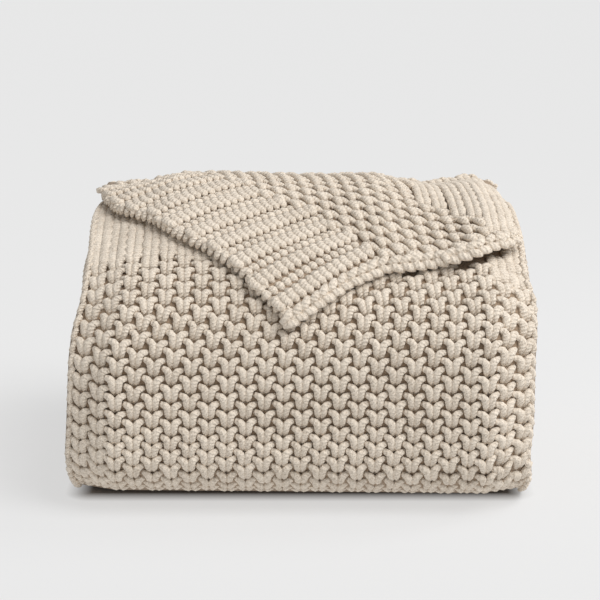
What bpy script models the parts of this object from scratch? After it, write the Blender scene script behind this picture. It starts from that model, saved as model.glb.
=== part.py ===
"""Chunky knitted throw folded into a stack, one corner of the cloth turned forward over the top.

The cloth is one sheet. Its section in the YZ plane runs back and forth as nested U shapes, round at
the front and joined in pairs at the back. The outermost U carries on over the back into the corner
flap. X is the width, the front faces -Y, Z is up.
"""
import math

import bmesh
import bpy
from mathutils.geometry import delaunay_2d_cdt

# Cloth and stack sizes in metres.
CLOTH_T = 0.0092
LAYER_GAP = 0.0014
PITCH = CLOTH_T + LAYER_GAP
FOLD_PAIRS = 9
STACK_TOP = 2 * FOLD_PAIRS * PITCH - LAYER_GAP
FRONT_Y = -0.155
TOP_BEND_R = 0.066
BOTTOM_BEND_R = 0.050
INNER_BEND_R = 0.026
BACK_SEGMENTS = 4
# Steps round the front bends: the outer U, the next few, and the small ones inside.
OUTER_BEND = 7
MIDDLE_BEND = 4
INNER_BEND = 3
MIDDLE_UNTIL = 4
OUTER_FRONT = 4
INNER_FRONT = 2
# Depths at which every flat run has a row of vertices, so neighbouring layers bend alike.
TOP_DEPTHS = (-0.060, -0.020, 0.020, 0.060, 0.100)
LOW_DEPTHS = (-0.055, -0.020, 0.060)
HALF_WIDTH = 0.185
# How far the rounded side edge stands out, as a share of the cloth's thickness.
EDGE_BULGE = 0.45
# A row of vertices keeps this far from the start of a bend.
ROW_CLEAR = 0.008

# The front bulges less in the middle of its height, and in slow uneven waves.
FRONT_FADE_Y = -0.02
FRONT_FADE = 0.13
BELLY = 0.006
FRONT_WAVE = 0.0018
# Waves in radians for each metre, and where they start: across the front and up it.
FRONT_WAVE_X = (17.0, 1.1)
FRONT_WAVE_Z = (21.0, 0.4)

# An upright corner turns back: where it starts, how softly, how far, and how much the side sinks.
CORNER_START = 0.78
CORNER_SOFT = 0.08
CORNER_TURN = 0.022
SIDE_SINK = 0.022

# The top rises from the front bend to a soft crest, then falls a little towards the back.
CREST_Y = 0.018
CREST_RISE = 0.198
CREST_FALL = 0.30
CREST_MIDDLE = -0.08
CREST_POWER = 2.5
BACK_FALL = 0.62
BACK_FALL_RUN = 0.14
RIPPLE = 0.006
RIPPLE_START = -0.05
RIPPLE_RUN = 0.15
RIPPLE_X = (23.0, 0.6)

# Under the front the cloth lifts off the ground, most at the left: how much, from where, how high up.
FOOT_LIFT = 0.0085
FOOT_TILT = 0.30
FOOT_Y = -0.055
FOOT_RUN = 0.085
FOOT_HIGH = 0.075

# Uneven top of the folded throw: x, how much higher the crest lies there.
CREST_LIFT = (
    (-0.172, 0.0050),
    (-0.150, 0.0008),
    (-0.132, 0.0010),
    (-0.105, 0.0062),
    (-0.068, 0.0060),
    (-0.030, 0.0036),
    (0.000, 0.0020),
    (0.034, 0.0020),
    (0.064, 0.0038),
    (0.090, 0.0000),
    (0.119, -0.0008),
    (0.153, 0.0082),
    (0.172, 0.0080),
)

# Across the cloth: stations of the coarse grid, as fractions of the half width.
STATIONS = (-1.0, -0.86, -0.36, 0.36, 0.63, 0.86, 1.0)

# One wale, a column of stitches, is one rib of the front.
WALE = 0.0148
WALE_GROOVE = 0.0022
WALE_SHIFT = 0.58
WALE_LINES = (0.0, 0.30, 0.70)
WALE_CLEAR = 0.0035
# The ribbed patch starts where the cloth turns to the front, and ends some rows before the roll.
PATCH_FACING = -0.05
PATCH_SHORT = 3

# Where each fold lies at the back, from the top of the stack down and from the bottom up.
BACK_Y_TOP = (0.141, 0.136, 0.143, 0.138)
BACK_Y_BOTTOM = (0.142, 0.137, 0.140, 0.135)
ROLL_Y = 0.136
ROLL_DEPTH = 1.25
ROLL_SEGMENTS = 6
FREE_END_Y = 0.118
# The folds at the back wave in and out across the width.
BACK_WAVE = 0.0035
BACK_WAVE_Y = 0.07
BACK_WAVE_RUN = 0.06
BACK_WAVE_TURNS = 7.0
BACK_WAVE_SHIFT = 2.3

# Side edges wander a little along the cloth, as fractions of the half width.
OUTER_WANDER = 0.004
INNER_WANDER = 0.010
WANDER_LENGTH = 0.021
WANDER_STEP = 0.002
WANDER_PHASE = 1.7
WANDER_RIGHT = 2.1

# How far each U stops short of the stack's side, left and right, as fractions of the half width.
SIDE_INSETS = (
    (0.000, 0.000),
    (0.016, 0.020),
    (0.004, 0.030),
    (0.026, 0.008),
    (0.010, 0.022),
    (0.034, 0.012),
    (0.014, 0.032),
    (0.028, 0.010),
    (0.012, 0.026),
)

# Side outline seen from the front: height, left edge, right edge.
SIDE_OUTLINE = (
    (0.000, -0.183, 0.184),
    (0.020, -0.184, 0.187),
    (0.045, -0.184, 0.185),
    (0.075, -0.183, 0.187),
    (0.105, -0.182, 0.186),
    (0.130, -0.180, 0.186),
    (0.150, -0.177, 0.188),
    (0.170, -0.171, 0.189),
    (0.188, -0.169, 0.181),
    (0.197, -0.170, 0.174),
    (0.210, -0.170, 0.171),
)

# Corner flap on top: outline from its left end round the point to its right end.
# Columns: x, then distance forward of the roll along the cloth.
FLAP_GAP = 0.0024
FLAP_LIFT_BACK = 0.004
FLAP_LIFT_RUN = 0.035
CORNER_LIFT = 0.009
CORNER_LIFT_X = 0.10
CORNER_LIFT_WIDTH = 0.07
CORNER_LIFT_START = 0.12
CORNER_LIFT_RUN = 0.08
FLAP_RUN = (
    (-0.169, 0.012),
    (-0.171, 0.042),
    (-0.171, 0.078),
    (-0.169, 0.108),
    (-0.163, 0.131),
    (-0.152, 0.159),
    (-0.126, 0.183),
    (-0.102, 0.212),
    (-0.076, 0.234),
    (-0.052, 0.253),
    (-0.030, 0.279),
    (-0.007, 0.3045),
    (0.018, 0.287),
    (0.042, 0.270),
    (0.072, 0.256),
    (0.108, 0.250),
    (0.146, 0.244),
    (0.172, 0.235),
    (0.186, 0.222),
    (0.178, 0.190),
    (0.173, 0.150),
    (0.176, 0.110),
    (0.174, 0.075),
    (0.171, 0.042),
    (0.169, 0.012),
)
FLAP_LEFT = 3
FLAP_TIP = 11
FLAP_CORNER = 18
FLAP_GROOVE = 0.0026
# The free edge is rounded: its flat faces end inside the outline, a little thinner than the cloth.
RIM_INSET = 0.35
RIM_HEIGHT = 0.8
# Rows and columns of vertices on the flap's lower face.
UNDER_ROWS = 12
UNDER_STEP = 0.027
UNDER_XS = (-0.135, -0.105, -0.07, -0.03, 0.0, 0.034, 0.066, 0.092, 0.12, 0.15)
CHAIN_WIDTH = 0.009
CHAIN_RISE = 0.0016
CHAIN_KEEP = 0.9
# Ribs on the flap run square to the cast-on edge: broad in the border band, then one per wale.
RIB_ANGLE = 34.0
BAND_WIDTH = 0.093
BAND_RIB = 0.0243
BODY_RIB = 0.0140
RIB_STEP = 0.020
BAND_LINES = 4
BODY_LINES = 2
RIB_LINES = 64
RIB_CLEAR = 0.0045
EDGE_STEP = 0.0006
ROLL_FADE = 0.04

BEIGE = (0.66, 0.56, 0.45, 1.0)


def clear_scene():
    for item in list(bpy.data.objects):
        bpy.data.objects.remove(item)


def smooth(t):
    t = min(max(t, 0.0), 1.0)
    return t * t * (3.0 - 2.0 * t)


def interpolate(rows, at, column):
    if at <= rows[0][0]:
        return rows[0][column]
    for low, high in zip(rows, rows[1:]):
        if at <= high[0]:
            t = (at - low[0]) / (high[0] - low[0])
            return low[column] + (high[column] - low[column]) * t
    return rows[-1][column]


def corner_bend(into):
    return into ** 2 if into < CORNER_SOFT else CORNER_SOFT * (2.0 * into - CORNER_SOFT)


def round_side(u):
    """How far an upright corner has turned back: nothing in the middle, 1 at the side."""
    return corner_bend(max(abs(u) - CORNER_START, 0.0)) / corner_bend(1.0 - CORNER_START)


def settle(u, y, z):
    """Turn an even stack into the real one: sides that lean, rounded upright corners, a low dome."""
    left = interpolate(SIDE_OUTLINE, z, 1)
    right = interpolate(SIDE_OUTLINE, z, 2)
    x = 0.5 * (left + right) + 0.5 * (right - left) * u
    side = round_side(u)
    front = smooth((FRONT_FADE_Y - y) / FRONT_FADE)
    belly = math.sin(math.pi * min(max(z / STACK_TOP, 0.0), 1.0))
    wave = FRONT_WAVE * math.sin(FRONT_WAVE_X[0] * x + FRONT_WAVE_X[1])
    wave *= math.sin(FRONT_WAVE_Z[0] * z + FRONT_WAVE_Z[1])
    y_out = y + front * (CORNER_TURN * side - BELLY * belly + wave * belly)
    climb = smooth((y - FRONT_Y) / (CREST_Y - FRONT_Y))
    rise = climb - BACK_FALL * smooth((y - CREST_Y) / BACK_FALL_RUN)
    dome = CREST_RISE * rise * (1.0 - CREST_FALL * abs(u - CREST_MIDDLE) ** CREST_POWER)
    lift = climb * interpolate(CREST_LIFT, x, 1) / STACK_TOP
    ripple = RIPPLE * math.sin(RIPPLE_X[0] * x + RIPPLE_X[1])
    ripple *= smooth((y - RIPPLE_START) / RIPPLE_RUN)
    foot = FOOT_LIFT * (1.0 - FOOT_TILT * u) * smooth((FOOT_Y - y) / FOOT_RUN)
    foot *= 1.0 - smooth(z / FOOT_HIGH)
    z_out = z * (1.0 + dome + lift + ripple - SIDE_SINK * side) + foot
    return (x, y_out, z_out)


def arc(centre, radius, start, end, count):
    """Points and outward directions on an arc, angles in degrees in the YZ plane, start left out."""
    rows = []
    for step in range(1, count + 1):
        angle = math.radians(start + (end - start) * step / count)
        out = (math.cos(angle), math.sin(angle))
        rows.append((centre[0] + radius * out[0], centre[1] + radius * out[1], out))
    return rows


def line(start, end, out, count):
    rows = []
    for step in range(1, count + 1):
        t = step / count
        rows.append((start[0] + (end[0] - start[0]) * t, start[1] + (end[1] - start[1]) * t, out))
    return rows


def u_run(number, y_low, y_high, fine):
    """Centre line of one U from its lower back end, round the front, to its upper back end."""
    depth = CLOTH_T / 2 + number * PITCH
    low = depth
    high = STACK_TOP - depth
    front = FRONT_Y + depth
    half = (high - low) / 2
    r_top = min(max(TOP_BEND_R - depth, INNER_BEND_R), half)
    r_low = min(max(BOTTOM_BEND_R - depth, INNER_BEND_R), half)
    inner = MIDDLE_BEND if number < MIDDLE_UNTIL else INNER_BEND
    bend = OUTER_BEND if fine else inner
    steps = OUTER_FRONT if fine else INNER_FRONT
    rows = [(y_low, low, (0.0, -1.0))]
    for y in reversed(LOW_DEPTHS):
        if y > front + r_low + ROW_CLEAR:
            rows.append((y, low, (0.0, -1.0)))
    rows.append((front + r_low, low, (0.0, -1.0)))
    rows += arc((front + r_low, low + r_low), r_low, -90.0, -180.0, bend)
    if high - low > r_top + r_low + LAYER_GAP:
        rows += line((front, low + r_low), (front, high - r_top), (-1.0, 0.0), steps)
    rows += arc((front + r_top, high - r_top), r_top, 180.0, 90.0, bend)
    for y in TOP_DEPTHS:
        if y > front + r_top + ROW_CLEAR:
            rows.append((y, high, (0.0, 1.0)))
    rows.append((y_high, high, (0.0, 1.0)))
    return rows


def sheet_path():
    """Whole section from the free inner end to the roll under the flap.

    Each row is y, z, direction of face A in the YZ plane and the number of its U.
    """
    path = []
    for number in range(FOLD_PAIRS - 1, -1, -1):
        pair = number // 2
        if number % 2 == 0:
            y_low = FREE_END_Y if number == FOLD_PAIRS - 1 else BACK_Y_BOTTOM[pair]
            y_high = BACK_Y_TOP[pair - 1] if number else ROLL_Y
        else:
            y_low = BACK_Y_BOTTOM[pair]
            y_high = BACK_Y_TOP[pair]
        rows = u_run(number, y_low, y_high, number == 0)
        side = 1.0
        if number % 2:
            rows.reverse()
            side = -1.0
        rows = [(y, z, (side * out[0], side * out[1]), number) for y, z, out in rows]
        if path:
            path += back_bend(path[-1], rows[0])
        path += rows
    return path


def back_bend(start, end):
    """Half turn at the back between two runs whose ends lie one pitch apart."""
    rows = []
    centre = (start[0], (start[1] + end[1]) / 2)
    radius = abs(end[1] - start[1]) / 2
    sign = 1.0 if end[1] > start[1] else -1.0
    facing = 1.0 if start[2][1] * sign < 0 else -1.0
    for step in range(1, BACK_SEGMENTS):
        angle = math.pi * step / BACK_SEGMENTS
        out = (math.sin(angle), -sign * math.cos(angle))
        rows.append((
            centre[0] + radius * out[0],
            centre[1] + radius * out[1],
            (facing * out[0], facing * out[1]),
            start[3] if step * 2 < BACK_SEGMENTS else end[3],
        ))
    return rows


def flap_point(run, lift):
    """Point and upward direction on the flap's middle surface, run metres forward of the roll."""
    offset = FLAP_GAP + CLOTH_T / 2 + lift
    centre = (FRONT_Y + TOP_BEND_R, STACK_TOP - TOP_BEND_R)
    straight = ROLL_Y - centre[0]
    radius = TOP_BEND_R + offset
    if run <= straight:
        return (ROLL_Y - run, STACK_TOP + offset, (0.0, 1.0))
    turn = (run - straight) / (TOP_BEND_R + FLAP_GAP + CLOTH_T / 2)
    if turn <= math.pi / 2:
        out = (-math.sin(turn), math.cos(turn))
        return (centre[0] + radius * out[0], centre[1] + radius * out[1], out)
    drop = run - straight - (TOP_BEND_R + FLAP_GAP + CLOTH_T / 2) * math.pi / 2
    return (centre[0] - radius, centre[1] - drop, (-1.0, 0.0))


def flap_lift(x, run):
    """The flap stands off the stack at the roll and under its right-hand corner."""
    back = FLAP_LIFT_BACK * math.exp(-run / FLAP_LIFT_RUN)
    across = smooth((x - CORNER_LIFT_X) / CORNER_LIFT_WIDTH)
    forward = smooth((run - CORNER_LIFT_START) / CORNER_LIFT_RUN)
    return back + CORNER_LIFT * across * forward


def to_u(x, z):
    left = interpolate(SIDE_OUTLINE, z, 1)
    right = interpolate(SIDE_OUTLINE, z, 2)
    return (2.0 * x - left - right) / (right - left)


def flap_vertex(x, run, height):
    y, z, out = flap_point(run, flap_lift(x, run))
    return settle(to_u(x, z), y + out[0] * height, z + out[1] * height)


def edge_u(number, along, right):
    """Where a layer's side edge lies at this place along the path, with its unevenness."""
    inset = SIDE_INSETS[number][1 if right else 0]
    size = OUTER_WANDER if number == 0 else INNER_WANDER
    phase = WANDER_PHASE * number + (WANDER_RIGHT if right else 0.0)
    wave = size * math.sin(along / (WANDER_LENGTH + WANDER_STEP * number) + phase)
    return 1.0 - inset + wave


class Shell:
    """Vertices and faces of the closed skin of the cloth."""

    def __init__(self):
        self.points = []
        self.faces = []

    def add(self, point):
        self.points.append(point)
        return len(self.points) - 1

    def quad(self, a, b, c, d, turned=False):
        """Two triangles split along a to c, or along b to d when turned."""
        if turned:
            self.faces.append((b, c, d))
            self.faces.append((b, d, a))
        else:
            self.faces.append((a, b, c))
            self.faces.append((a, c, d))


def path_lengths(path):
    lengths = [0.0]
    for low, high in zip(path, path[1:]):
        lengths.append(lengths[-1] + math.hypot(high[0] - low[0], high[1] - low[1]))
    return lengths


def back_wave(u, y, fold):
    size = BACK_WAVE * smooth((y - BACK_WAVE_Y) / BACK_WAVE_RUN)
    return size * math.sin(BACK_WAVE_TURNS * u + BACK_WAVE_SHIFT * fold)


def sweep(shell, path):
    """Grid of the folded runs: face A, face B and the rounded side edges, row by row."""
    lengths = path_lengths(path)
    rows = []
    for (y, z, out, number), along in zip(path, lengths):
        reach = (edge_u(number, along, False), edge_u(number, along, True))
        # Two runs that share a fold share its wave.
        fold = (number + 1) // 2 + FOLD_PAIRS if z > STACK_TOP / 2 else number // 2
        row = {"a": [], "b": [], "number": number, "along": along}
        for u in STATIONS:
            wide = u
            if abs(u) == 1.0:
                wide = u * (reach[0] if u < 0 else reach[1])
            shift = back_wave(u, y, fold)
            for key, side in (("a", 1.0), ("b", -1.0)):
                point = settle(
                    wide,
                    y + shift + side * out[0] * CLOTH_T / 2,
                    z + side * out[1] * CLOTH_T / 2,
                )
                row[key].append(shell.add(point))
        bulge = EDGE_BULGE * CLOTH_T / HALF_WIDTH
        for key, u in (("left", -reach[0] - bulge), ("right", reach[1] + bulge)):
            shift = back_wave(math.copysign(1.0, u), y, fold)
            row[key] = shell.add(settle(u, y + shift, z))
        rows.append(row)
    return rows


def skin_rows(shell, low, high, with_a):
    # Runs alternate in direction, so the split alternates too and neighbouring layers nest.
    turned = low["number"] % 2 == 1
    for left, right in zip(range(len(STATIONS) - 1), range(1, len(STATIONS))):
        if with_a:
            shell.quad(
                low["a"][left], low["a"][right], high["a"][right], high["a"][left], turned
            )
        shell.quad(
            low["b"][right], low["b"][left], high["b"][left], high["b"][right], not turned
        )
    shell.quad(low["right"], high["right"], high["a"][-1], low["a"][-1])
    shell.quad(low["b"][-1], high["b"][-1], high["right"], low["right"])
    shell.quad(high["left"], low["left"], low["a"][0], high["a"][0])
    shell.quad(high["b"][0], low["b"][0], low["left"], high["left"])


def fill(shell, border, inside):
    """Triangulate between border vertices and inside ones, both given as (flat place, vertex)."""
    flat = [place for place, _ in border] + [place for place, _ in inside]
    index = [vertex for _, vertex in border] + [vertex for _, vertex in inside]
    result = delaunay_2d_cdt(flat, [], [list(range(len(border)))], 1, 1e-7)
    origin = [source[0] for source in result[3]]
    for face in result[2]:
        shell.faces.append(tuple(index[origin[corner]] for corner in face))


def front_patch(shell, path, rows, first, last):
    """Face A of the outer run with a rib for every wale, between two rows of the sweep."""
    lengths = path_lengths(path)
    border = []
    for number in range(len(STATIONS)):
        border.append((rows[first]["a"][number], first, STATIONS[number]))
    for row in range(first + 1, last + 1):
        border.append((rows[row]["a"][-1], row, 1.0))
    for number in range(len(STATIONS) - 2, -1, -1):
        border.append((rows[last]["a"][number], last, STATIONS[number]))
    for row in range(last - 1, first, -1):
        border.append((rows[row]["a"][0], row, -1.0))
    flat_border = []
    for vertex, row, u in border:
        reach = edge_u(0, lengths[row], u > 0) if abs(u) == 1.0 else 1.0
        flat_border.append(((u * reach * HALF_WIDTH, lengths[row]), vertex))
    inside = []
    count = int(HALF_WIDTH / WALE) + 1
    for row in range(first + 1, last):
        y, z, out = path[row][:3]
        fade = min(1.0, (row - first) / 2.0, (last - row) / 2.0)
        for wale in range(-count, count + 1):
            for phase in WALE_LINES:
                x = (wale + WALE_SHIFT + phase) * WALE
                reach = edge_u(0, lengths[row], x > 0) * HALF_WIDTH
                if abs(x) > reach - WALE_CLEAR:
                    continue
                height = CLOTH_T / 2 - (WALE_GROOVE * fade if phase == 0.0 else 0.0)
                point = settle(x / HALF_WIDTH, y + out[0] * height, z + out[1] * height)
                inside.append(((x, lengths[row]), shell.add(point)))
    fill(shell, flat_border, inside)


def rib_place(along, across):
    """Flat place on the flap: metres from the cast-on edge up the ribs, and across them from the tip."""
    angle = math.radians(RIB_ANGLE)
    x = FLAP_RUN[FLAP_TIP][0] + along * math.cos(angle) - across * math.sin(angle)
    run = FLAP_RUN[FLAP_TIP][1] - along * math.sin(angle) - across * math.cos(angle)
    return x, run


def distance_to(points, x, run):
    """Distance in the flap's plane from a place to a line of points."""
    nearest = 1.0
    for low, high in zip(points, points[1:]):
        dx, dr = high[0] - low[0], high[1] - low[1]
        t = ((x - low[0]) * dx + (run - low[1]) * dr) / (dx * dx + dr * dr)
        t = min(max(t, 0.0), 1.0)
        nearest = min(nearest, math.hypot(x - low[0] - dx * t, run - low[1] - dr * t))
    return nearest


def within_flap(x, run, margin):
    """True inside the flap's outline, at least the margin away from its free edge and the roll."""
    if run < margin:
        return False
    crossings = 0
    ring = ((FLAP_RUN[0][0], 0.0),) + FLAP_RUN + ((FLAP_RUN[-1][0], 0.0),)
    for low, high in zip(ring, ring[1:]):
        if (low[0] <= x) != (high[0] <= x):
            t = (x - low[0]) / (high[0] - low[0])
            if low[1] + (high[1] - low[1]) * t > run:
                crossings += 1
    return crossings % 2 == 1 and distance_to(FLAP_RUN, x, run) > margin


def offset_outline(points, distance):
    """Outline moved sideways, outwards for a positive distance, in the flap's own plane."""
    moved = []
    for number, (x, run) in enumerate(points):
        low = points[max(number - 1, 0)]
        high = points[min(number + 1, len(points) - 1)]
        dx, dr = high[0] - low[0], high[1] - low[1]
        length = math.hypot(dx, dr)
        moved.append((x - dr / length * distance, run + dx / length * distance))
    return moved


def flap(shell, last_row):
    """Corner flap: both faces filled inside the outline, joined to the roll's last row."""
    half = CLOTH_T / 2
    outline = offset_outline(FLAP_RUN, -RIM_INSET * half)
    bulged = offset_outline(FLAP_RUN, (1.0 - RIM_INSET) * half)
    roll_x = [u * HALF_WIDTH for u in STATIONS]
    roll_places = [(x, 0.0) for x in roll_x]
    lower = []
    upper = []
    middle = [last_row["left"]]
    for (x, run), (bx, brun) in zip(outline, bulged):
        lower.append(((x, run), shell.add(flap_vertex(x, run, -RIM_HEIGHT * half))))
        upper.append(((x, run), shell.add(flap_vertex(x, run, RIM_HEIGHT * half))))
        middle.append(shell.add(flap_vertex(bx, brun, 0.0)))
    middle.append(last_row["right"])
    # Face A turns downwards and face B upwards once the cloth has gone round the roll.
    low_back = list(zip(roll_places, last_row["a"]))
    high_back = list(zip(roll_places, last_row["b"]))
    low_loop = [low_back[0]] + lower + [low_back[-1]]
    high_loop = [high_back[0]] + upper + [high_back[-1]]
    for number in range(len(middle) - 1):
        shell.quad(low_loop[number][1], low_loop[number + 1][1], middle[number + 1], middle[number])
        shell.quad(middle[number], middle[number + 1], high_loop[number + 1][1], high_loop[number][1])
    low_border = low_loop + low_back[-2:0:-1]
    high_border = high_loop + high_back[-2:0:-1]
    low_inside = []
    for step in range(1, UNDER_ROWS):
        run = step * UNDER_STEP
        for x in UNDER_XS:
            if within_flap(x, run, CHAIN_WIDTH):
                low_inside.append(((x, run), shell.add(flap_vertex(x, run, -half))))
    fill(shell, low_border, low_inside)
    high_inside = []
    for x, run, relief in rib_places():
        high_inside.append(((x, run), shell.add(flap_vertex(x, run, half + relief))))
    fill(shell, high_border, high_inside)


def chain_places():
    """Places with their relief along the raised chain edge."""
    edge = FLAP_RUN[FLAP_TIP:FLAP_CORNER + 1]
    places = []
    for inset, relief in ((0.5 * CHAIN_WIDTH, CHAIN_RISE), (CHAIN_WIDTH + EDGE_STEP, -FLAP_GROOVE)):
        rim = offset_outline(edge, -inset)
        for low, high in zip(rim, rim[1:]):
            for t in (0.0, 0.5):
                x = low[0] + (high[0] - low[0]) * t
                run = low[1] + (high[1] - low[1]) * t
                if within_flap(x, run, CHAIN_KEEP * inset):
                    places.append((x, run, relief))
    return places


def rib_places():
    """Places on the flap's upper face with their relief: lines along the ribs and the chain edge."""
    edge = FLAP_RUN[FLAP_TIP:FLAP_CORNER + 1]
    places = chain_places()
    taken = []
    for rib, lines, in_band in ((BAND_RIB, BAND_LINES, True), (BODY_RIB, BODY_LINES, False)):
        for number in range(-RIB_LINES, RIB_LINES):
            across = number * rib / lines
            relief = -FLAP_GROOVE * (0.5 + 0.5 * math.cos(2.0 * math.pi * number / lines))
            for step in range(-RIB_LINES, RIB_LINES):
                along = (step + 0.5 * (number % 2)) * RIB_STEP
                x, run = rib_place(along, across)
                if not within_flap(x, run, RIB_CLEAR):
                    continue
                if distance_to(edge, x, run) < CHAIN_WIDTH + RIB_CLEAR:
                    continue
                cast_on = distance_to(FLAP_RUN[FLAP_LEFT:FLAP_TIP + 1], x, run)
                if (cast_on < BAND_WIDTH) != in_band:
                    continue
                if not in_band and any(math.hypot(x - a, run - b) < RIB_CLEAR for a, b in taken):
                    continue
                taken.append((x, run))
                places.append((x, run, relief * smooth(run / ROLL_FADE)))
    return places


def end_cap(shell, row):
    """Close the free inner end with a rounded edge."""
    for number in range(len(STATIONS) - 1):
        shell.quad(row["b"][number], row["b"][number + 1], row["a"][number + 1], row["a"][number])
    shell.faces.append((row["left"], row["b"][0], row["a"][0]))
    shell.faces.append((row["right"], row["a"][-1], row["b"][-1]))


def roll(path):
    """Half turn from the top of the outer run up into the flap."""
    last = path[-1]
    height = FLAP_GAP + CLOTH_T + FLAP_LIFT_BACK
    radius = height / 2
    rows = []
    for step in range(1, ROLL_SEGMENTS):
        angle = math.pi * step / ROLL_SEGMENTS
        out = (math.sin(angle), -math.cos(angle))
        y = last[0] + radius * ROLL_DEPTH * out[0]
        z = last[1] + radius + radius * out[1]
        rows.append((y, z, (-out[0], -out[1]), 0))
    rows.append((last[0], last[1] + height, (0.0, -1.0), 0))
    return rows


def build():
    path = sheet_path()
    outer = [number for number, row in enumerate(path) if row[3] == 0 and row[2][0] <= 0.0]
    turn = len(path)
    path = path + roll(path)
    shell = Shell()
    rows = sweep(shell, path)
    # The ribbed patch runs from just above the resting face to under the flap.
    front = [number for number in outer if path[number][2][0] < PATCH_FACING]
    first = front[0] - 1
    last = turn - PATCH_SHORT
    for number in range(len(rows) - 1):
        skin_rows(shell, rows[number], rows[number + 1], not first <= number < last)
    front_patch(shell, path, rows, first, last)
    flap(shell, rows[-1])
    end_cap(shell, rows[0])
    return shell


def seat(points):
    """Put the origin at the middle of the base."""
    lows = [min(point[axis] for point in points) for axis in range(3)]
    highs = [max(point[axis] for point in points) for axis in range(3)]
    middle = ((lows[0] + highs[0]) / 2, (lows[1] + highs[1]) / 2, lows[2])
    return [tuple(point[axis] - middle[axis] for axis in range(3)) for point in points]


def fabric_material():
    material = bpy.data.materials.new("beige_knit")
    material.use_nodes = True
    shader = material.node_tree.nodes["Principled BSDF"]
    shader.inputs["Base Color"].default_value = BEIGE
    shader.inputs["Roughness"].default_value = 0.95
    return material


def main():
    clear_scene()
    shell = build()
    mesh = bpy.data.meshes.new("throw")
    mesh.from_pydata(seat(shell.points), [], shell.faces)
    work = bmesh.new()
    work.from_mesh(mesh)
    bmesh.ops.recalc_face_normals(work, faces=work.faces)
    work.to_mesh(mesh)
    work.free()
    mesh.materials.append(fabric_material())
    throw = bpy.data.objects.new("throw", mesh)
    bpy.context.scene.collection.objects.link(throw)


main()
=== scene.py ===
# %% [markdown]
# A chunky knitted throw, folded into a stack, with one corner turned forward over the top.
# On the real object everything that shows is yarn: fat stitches in columns, with small dark pits
# between them. This lesson first makes the folded cloth as one thin closed sheet, and then lays
# separate stitches on the parts of it that show.

# %% Frame
import math

import bpy
import bmesh
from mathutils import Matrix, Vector


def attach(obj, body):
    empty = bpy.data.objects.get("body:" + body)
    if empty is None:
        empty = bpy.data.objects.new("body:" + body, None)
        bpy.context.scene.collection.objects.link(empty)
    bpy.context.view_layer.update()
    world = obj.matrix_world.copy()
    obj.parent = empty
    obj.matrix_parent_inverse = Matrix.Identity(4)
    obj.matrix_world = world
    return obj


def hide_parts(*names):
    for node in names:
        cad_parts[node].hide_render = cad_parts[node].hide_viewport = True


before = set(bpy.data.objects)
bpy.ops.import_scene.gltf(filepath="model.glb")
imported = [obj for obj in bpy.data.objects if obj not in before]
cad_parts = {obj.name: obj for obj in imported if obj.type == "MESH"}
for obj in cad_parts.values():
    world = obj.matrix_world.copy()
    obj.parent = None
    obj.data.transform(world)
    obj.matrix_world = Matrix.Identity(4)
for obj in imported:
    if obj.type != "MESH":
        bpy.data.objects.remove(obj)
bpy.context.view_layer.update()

# %% [markdown]
# The camera stands straight in front of the stack and a little above it, far enough away that the
# lines of the folds hardly converge. A long lens fills the picture with the throw. The stage is a
# pale floor that runs on behind the stack, so that floor and background are one even tone. Away
# from the throw it glows a little, like a light table, which keeps the cast shadow faint. Close to
# the throw it is plain grey card, so that the thin dark line under the cloth stays.

# %% Camera and floor
CAMERA_DISTANCE = 2.0
CAMERA_ELEVATION = math.radians(15.0)
CAMERA_TARGET = Vector((0.0, 0.0, 0.10))
FOCAL_PIXELS = 2349.5
PICTURE_SIZE = 600
TARGET_ROW = 349
SENSOR_WIDTH = 36.0
CAMERA_REACH = 50.0
FLOOR_REACH = 14.0
FLOOR_GREY = 0.24
FLOOR_GLOW = 0.58
CARD_GREY = 0.50
CARD_HALF = (0.172, 0.086)
CARD_EDGE = 0.022


def make_camera():
    data = bpy.data.cameras.new("studio_camera")
    data.sensor_width = SENSOR_WIDTH
    data.lens = FOCAL_PIXELS / PICTURE_SIZE * data.sensor_width
    data.shift_y = (TARGET_ROW - PICTURE_SIZE / 2) / PICTURE_SIZE
    data.clip_end = CAMERA_REACH
    camera = bpy.data.objects.new("studio_camera", data)
    back = Vector((0.0, -math.cos(CAMERA_ELEVATION), math.sin(CAMERA_ELEVATION)))
    camera.location = CAMERA_TARGET + back * CAMERA_DISTANCE
    camera.rotation_euler = (math.pi / 2 - CAMERA_ELEVATION, 0.0, 0.0)
    bpy.context.scene.collection.objects.link(camera)
    bpy.context.scene.camera = camera
    return camera


def math_node(tree, operation, first, second=0.0):
    """A Math node fed by sockets or plain numbers; gives its output socket."""
    node = tree.nodes.new("ShaderNodeMath")
    node.operation = operation
    for slot, value in zip(node.inputs, (first, second)):
        if isinstance(value, (int, float)):
            slot.default_value = value
        else:
            tree.links.new(value, slot)
    return node.outputs[0]


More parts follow.
